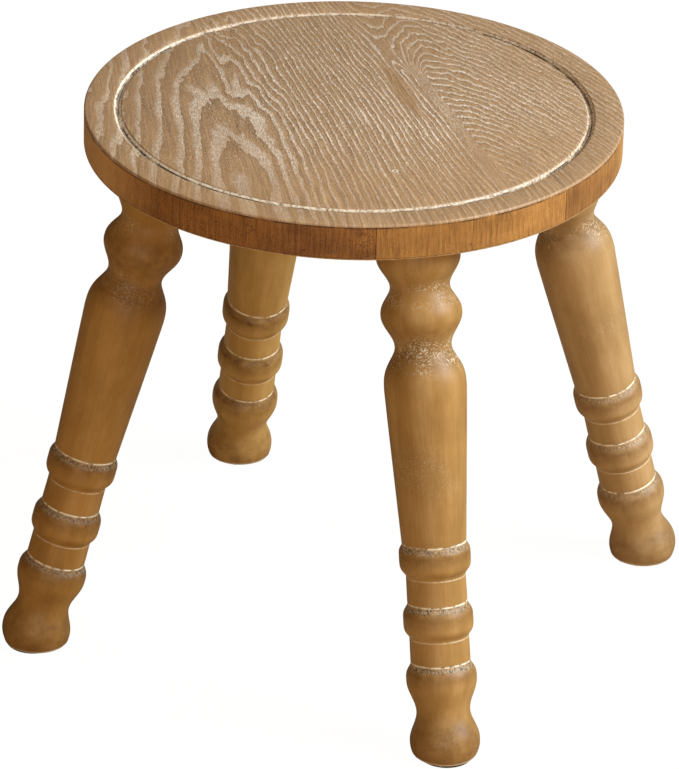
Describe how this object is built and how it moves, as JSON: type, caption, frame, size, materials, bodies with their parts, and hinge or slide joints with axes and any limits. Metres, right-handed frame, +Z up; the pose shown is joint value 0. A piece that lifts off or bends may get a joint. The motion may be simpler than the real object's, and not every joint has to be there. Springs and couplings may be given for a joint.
{
  "type": "stool",
  "caption": "Round wooden stool: limed veneered seat with a turned groove near its rim, on splayed legs turned with beads, coves and rings.",
  "frame": {"origin": "on the floor, at the middle of the square of the four feet and under the centre of the round seat", "axes": "+Z up along the axis of the round seat; +X to the right and +Y to the back, so the four legs stand on the diagonals"},
  "size_m": [0.3041, 0.3021, 0.31],
  "materials": {
    "core_hardwood": "satin lacquered orange-brown hardwood, end grain showing round the edge",
    "limed_veneer": "limed open-pored ash veneer, white wax left in the pores and the groove",
    "backing_veneer": "plain balancing veneer, sealed",
    "turned_hardwood": "golden-brown stained hardwood with white wax left beside the rings",
    "zinc_plated_steel": "zinc plated",
    "foot_pad": "thin dark self-adhesive pad"
  },
  "bodies": {
    "root": {"seat_board_left": "core_hardwood", "seat_board_middle": "core_hardwood", "seat_board_right": "core_hardwood", "face_veneer_disc": "limed_veneer", "face_veneer_rim": "limed_veneer", "backing_veneer": "backing_veneer", "leg_front_right": "turned_hardwood", "leg_back_right": "turned_hardwood", "leg_back_left": "turned_hardwood", "leg_front_left": "turned_hardwood", "hanger_bolt_front_right": "zinc_plated_steel", "hanger_bolt_back_right": "zinc_plated_steel", "hanger_bolt_back_left": "zinc_plated_steel", "hanger_bolt_front_left": "zinc_plated_steel", "threaded_insert_front_right": "zinc_plated_steel", "threaded_insert_back_right": "zinc_plated_steel", "threaded_insert_back_left": "zinc_plated_steel", "threaded_insert_front_left": "zinc_plated_steel", "foot_pad_front_right": "foot_pad", "foot_pad_back_right": "foot_pad", "foot_pad_back_left": "foot_pad", "foot_pad_front_left": "foot_pad"}
  },
  "joints": []
}
